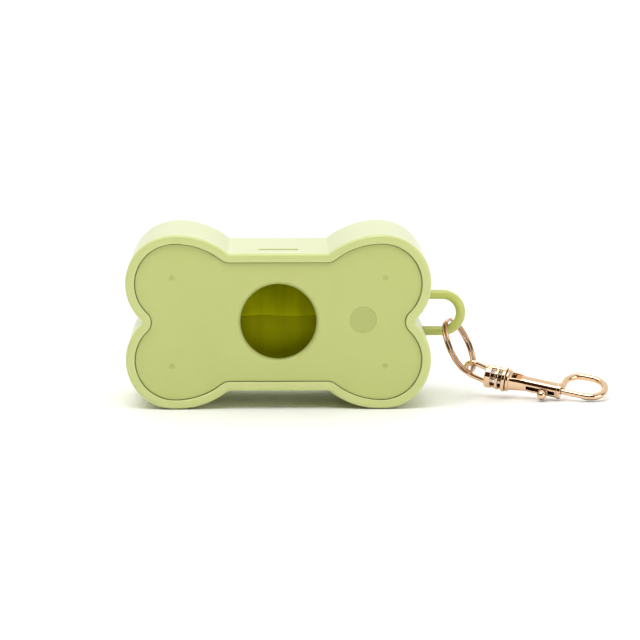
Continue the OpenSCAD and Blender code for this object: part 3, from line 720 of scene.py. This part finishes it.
bolt = {
    "radius": 0.85, "travel": 4.8, "knobPlace": 6.5, "tail": 0.2, "tipGap": 0.15, "rearEdge": 0.15,
    "stem": 0.55, "stemFoot": 0.2, "ball": 1.45, "sink": 0.3, "skirt": 0.5, "skirtGap": 0.15, "edge": 0.12,
}
spring = {"wire": 0.22, "turns": 4, "play": 0.1}

snapOrigin = Vector(joints["hook_swivel"]["pos_m"])


def snapFrame(rollDegrees):
    turn = Euler([math.radians(a) for a in (rollDegrees, snap["slope"], -snap["yaw"])], "XYZ")
    return Matrix.Translation(snapOrigin) @ turn.to_matrix().to_4x4()


eyeFrame, hookFrame = snapFrame(snap["eyeRoll"]), snapFrame(snap["hookRoll"])


def rodBetween(name, start, end, radius, sides=48):
    start, end = Vector(start), Vector(end)
    turn = (end - start).to_track_quat("X", "Z").to_matrix().to_4x4()
    place = Matrix.Translation(start * mm) @ turn
    return lathe(name, [(0, radius), ((end - start).length, radius)], place, sides)


def block(name, low, high):
    (x0, y0, z0), (x1, y1, z1) = low, high
    rings = [[(x, y0, z0), (x, y1, z0), (x, y1, z1), (x, y0, z1)] for x in (x0, x1)]
    return loft(name, rings)


def makeEye():
    base, edge = eye["bowStart"], eye["ribEdge"]
    parts = []
    for x, thick, radius in eye["ribs"]:
        half = thick / 2
        corner = [(edge * (1 - math.sin(a)), radius - edge * (1 - math.cos(a))) for a in quarterTurn(4)]
        rim = [(x - half + inset, r) for inset, r in reversed(corner)]
        rim += [(x + half - inset, r) for inset, r in corner]
        parts.append(lathe("rib", rim, None, 72))
    for sy in (-1, 1):
        out = sy * eye["barOut"]
        parts.append(rodBetween("bar", (base, out, 0), (eye["barEnd"], out, 0), eye["barRadius"], 32))
    tilt = Matrix.Rotation(math.radians(-eye["bowTilt"]), 4, "Z")
    bowPlace = Matrix.Translation(Vector((base, 0, 0)) * mm) @ tilt
    bend, end = eye["bowRadius"], -eye["bowLength"]
    path = [(x, -bend, 0) for x in span(0.3, end, 10)[:-1]]
    path += [(end + bend * math.cos(a), bend * math.sin(a), 0)
             for a in span(-math.pi / 2, -3 * math.pi / 2, 40)]
    path += [(x, bend, 0) for x in span(end, -0.3, 10)[1:]]
    parts.append(tube("bow", path, eye["bowRod"], bowPlace, 32))
    body = weld(parts[0], *parts[1:])
    carve(body, rodBetween("pinBore", (base - 2, 0, 0), (2, 0, 0), eye["pinRadius"]))
    body.name = "eyeCasting"
    castSurface(body, eye["grain"], eye["smoothing"])
    body.data.transform(eyeFrame)
    return present(body, "eye", roseGold, ["swivel_eye"], 180)


def makePin():
    place, thick = eye["ribs"][0][:2]
    base = place - thick / 2
    neckEnd = hook["tailStart"] + hook["tailWall"] + pin["play"]
    profile = [(base + x, r) for x, r in pin["foot"]]
    profile += [(base + pin["footEdge"], eye["pinRadius"]), (pin["bodyEnd"], eye["pinRadius"]),
                (pin["bodyEnd"] + pin["shoulder"], pin["neck"]), (neckEnd, pin["neck"])]
    profile += [(neckEnd + x, r) for x, r in pin["head"]]
    return present(lathe("pinRivet", profile, eyeFrame, 48), "eye", roseGold, ["swivel_pin"])


tailStart = hook["tailStart"]
windowX = tailStart + hook["tailWall"]
barrelX = tailStart + hook["tailLength"]
mouthX = barrelX + hook["barrelLong"]
stubX = mouthX - hook["rodRadius"] + hook["rodStep"]
backV = 2 * hook["roundRadius"]
roundX = stubX + hook["bendRadius"] + hook["backLong"]
tipX = roundX - bolt["radius"]
boreX = windowX + hook["windowLong"] + hook["boreWall"]
knobX = barrelX + bolt["knobPlace"]
boltRear = knobX - bolt["stem"] - bolt["tail"]


def squareBar(name, x0, x1, wide):
    # a square bar whose corners are rounded off by a circle
    reach, half = wide * hook["cornerShare"], wide / 2
    corner = math.degrees(math.acos(half / reach))
    ring = []
    for quarter in range(4):
        for a in span(quarter * 90 + corner, quarter * 90 + 90 - corner, 10):
            ring.append((reach * math.cos(math.radians(a)), reach * math.sin(math.radians(a))))
    return loft(name, [[(x, y, z) for y, z in ring] for x in (x0, x1)])


def makeHook():
    tail = lathe("hookCasting", [(tailStart, hook["tailRadius"]), (barrelX + 0.3, hook["tailEnd"])], None, 64)
    thick = hook["tailThick"] / 2
    carve(tail, block("flats", (tailStart - 1, -5, -thick), (barrelX + 1, 5, thick)), "INTERSECT")

    # the hook's wire: up from the barrel's mouth, round a bend, along the back and round to the bolt's tip
    bend, curl = hook["bendRadius"], hook["roundRadius"]
    path = [(stubX, y, 0) for y in span(hook["rodRadius"], backV - bend, 8)[:-1]]
    path += [(stubX + bend - bend * math.cos(a), backV - bend + bend * math.sin(a), 0)
             for a in quarterTurn(24)]
    path += [(x, backV, 0) for x in span(stubX + bend, roundX, 4)[1:-1]]
    path += [(roundX + curl * math.sin(a), curl + curl * math.cos(a), 0) for a in span(0, math.pi, 40)]
    path += [(tipX, 0, 0)]

    rimEdge, rimRadius, rimEnd = hook["rimEdge"], hook["rimRadius"], tailStart + hook["rimThick"]
    collarWide = hook["barrelWide"] + 2 * hook["collarStep"]
    weld(tail, lathe("tailRim", [(tailStart, rimRadius - rimEdge), (tailStart + rimEdge, rimRadius),
                                 (rimEnd - rimEdge, rimRadius), (rimEnd, rimRadius - rimEdge)], None, 72),
         squareBar("barrel", barrelX - sunkIn, mouthX, hook["barrelWide"]),
         squareBar("collar", mouthX - hook["collarLong"], mouthX, collarWide),
         tube("hookRod", path, hook["rodRadius"], None, 32))
    wide, slot = hook["windowWide"] / 2, hook["slotHalf"]
    carve(tail, block("window", (windowX, -wide, -5), (windowX + hook["windowLong"], wide, 5)))
    carve(tail, rodBetween("neckBore", (tailStart - 1, 0, 0), (windowX + 0.5, 0, 0), hook["neckBore"]))
    carve(tail, rodBetween("boltBore", (boreX, 0, 0), (mouthX + 1, 0, 0), hook["boreRadius"]))
    slotRear = knobX - bolt["travel"] - slot
    carve(tail, block("knobSlot", (slotRear, -5, -slot), (mouthX - hook["slotNose"], 0, slot)))
    castSurface(tail, hook["grain"], hook["smoothing"])
    tail.data.transform(hookFrame)
    return present(tail, "hook", roseGold, ["hook_body"], 180)


def makeBolt():
    front, radius, edge, rear = tipX - bolt["tipGap"], bolt["radius"], bolt["edge"], bolt["rearEdge"]
    profile = [(boltRear, radius - rear), (boltRear + rear, radius), (front - edge, radius),
               (front - edge / 3, radius - edge / 3), (front, radius - edge)]
    return present(lathe("boltRod", profile, hookFrame, 48), "bolt", roseGold, ["bolt"], 50)


def makeKnob():
    # turned about the stem, with distances from the bolt's axis: the stem, a flat skirt and a ball on it
    lift = hook["barrelWide"] / 2 + bolt["skirtGap"]
    ball, top, edge = bolt["ball"], lift + bolt["skirt"], bolt["edge"]
    centre = top + ball - bolt["sink"]
    start = math.asin((centre - top) / ball)
    profile = [(bolt["stemFoot"], bolt["stem"]), (lift, bolt["stem"]), (lift, ball - edge),
               (lift + edge, ball), (top - edge, ball), (top, ball - edge),
               (top, ball * math.cos(start) + 0.02)]
    profile += [(centre + ball * math.sin(a), ball * math.cos(a))
                for a in span(-start + 0.05, math.pi / 2 - 0.06, 24)]
    place = hookFrame @ Matrix.Translation(Vector((knobX, 0, 0)) * mm) @ Matrix.Rotation(-math.pi / 2, 4, "Z")
    return present(lathe("thumbKnob", profile, place, 48), "bolt", roseGold, ["thumb_knob"], 40)


def makeSpring():
    half, turns = spring["wire"] / 2, spring["turns"]
    radius = hook["boreRadius"] - half - spring["play"]
    first, last = boreX + half, boltRear - half
    path = []
    for turn in span(0, turns, turns * 36):
        a = math.tau * turn
        path.append((first + (last - first) * turn / turns, radius * math.cos(a), radius * math.sin(a)))
    wire = tube("springWire", path, half, hookFrame, 10, normal=Vector((1, 0, 0)))
    return present(wire, "hook", wireSteel, ["bolt_spring"], 60)


eyeCasting = makeEye()
makePin()
print("eye made:", len(eyeCasting.data.polygons), "faces")
hookCasting = makeHook()
makeBolt()
makeKnob()
makeSpring()
print("hook made:", len(hookCasting.data.polygons), "faces")


studio = {
    "floorHalf": 6.0, "paper": "#FAFAF9", "roomBright": 0.97, "roomDark": "#3A281C",
    # place, the point it faces, width and height, all in metres, and watts
    "softboxes": {
        "keyBox": ((-0.25, -0.6, 1.35), (0, 0, 0), (1.2, 0.9), 13),
        "sideBox": ((1.2, -1.1, 0.35), (0, 0, 0), (1.0, 0.7), 6),
        "backBox": ((0.1, 2.6, 1.6), (0, 2.2, 0), (2.4, 1.6), 14),   # whitens the paper behind
    },
    # the place is in millimetres, the angles are in degrees
    "cameraPlace": (-1.733, -919.475, 129.343), "cameraPitch": 7.9875, "cameraYaw": -0.8711,
    "lens": 177.31, "sensor": 36,
}


def makeFloor():
    size, low = studio["floorHalf"], cadBox[0][2]
    corners = [(sx * size, sy * size, low) for sx, sy in ((-1, -1), (1, -1), (1, 1), (-1, 1))]
    mesh = bpy.data.meshes.new("floor")
    mesh.from_pydata(corners, [], [(0, 1, 2, 3)])
    floor = bpy.data.objects.new("floor", mesh)
    bpy.context.scene.collection.objects.link(floor)
    mesh.materials.append(studioPaper("studioPaper", studio["paper"]))


def addSoftbox(name, place, target, size, watts):
    light = bpy.data.lights.new(name, "AREA")
    light.shape = "RECTANGLE"
    light.size, light.size_y = size
    light.energy = watts
    lamp = bpy.data.objects.new(name, light)
    bpy.context.scene.collection.objects.link(lamp)
    lamp.location = place
    lamp.rotation_euler = (Vector(target) - Vector(place)).to_track_quat("-Z", "Y").to_euler()


def makeWorld():
    # a white room behind and above, and a dark one in front, which draws the dark lines in the metal
    world = bpy.data.worlds.new("studioRoom")
    bpy.context.scene.world = world
    world.use_nodes = True
    tree = world.node_tree
    tree.nodes.clear()
    where = addNode(tree, "ShaderNodeTexCoord").outputs["Generated"]
    facing = addNode(tree, "ShaderNodeVectorMath", {0: where, 1: (0, 1, 0.9)}, operation="DOT_PRODUCT")
    share = addNode(tree, "ShaderNodeMapRange", {"Value": facing.outputs["Value"], "From Min": -0.2,
                                                 "From Max": 0.6}, interpolation_type="SMOOTHSTEP")
    colour = addNode(tree, "ShaderNodeMix", {0: share.outputs["Result"], 6: hexColour(studio["roomDark"]),
                                             7: hexColour("#FFFFFF")}, data_type="RGBA")
    backdrop = addNode(tree, "ShaderNodeBackground", {"Color": colour.outputs[2],
                                                      "Strength": studio["roomBright"]})
    addNode(tree, "ShaderNodeOutputWorld", {"Surface": backdrop.outputs["Background"]})


def makeCamera():
    data = bpy.data.cameras.new("photoCamera")
    data.sensor_width = studio["sensor"]
    data.lens = studio["lens"]
    data.clip_start, data.clip_end = 0.05, 50
    camera = bpy.data.objects.new("photoCamera", data)
    bpy.context.scene.collection.objects.link(camera)
    camera.location = Vector(studio["cameraPlace"]) * mm
    camera.rotation_euler = (math.radians(90 - studio["cameraPitch"]), 0, math.radians(studio["cameraYaw"]))
    bpy.context.scene.camera = camera


makeFloor()
makeWorld()
for boxName, settings in studio["softboxes"].items():
    addSoftbox(boxName, *settings)
makeCamera()
bpy.context.scene.view_settings.view_transform = "Standard"
bpy.context.scene.view_settings.look = "None"
print("studio made")
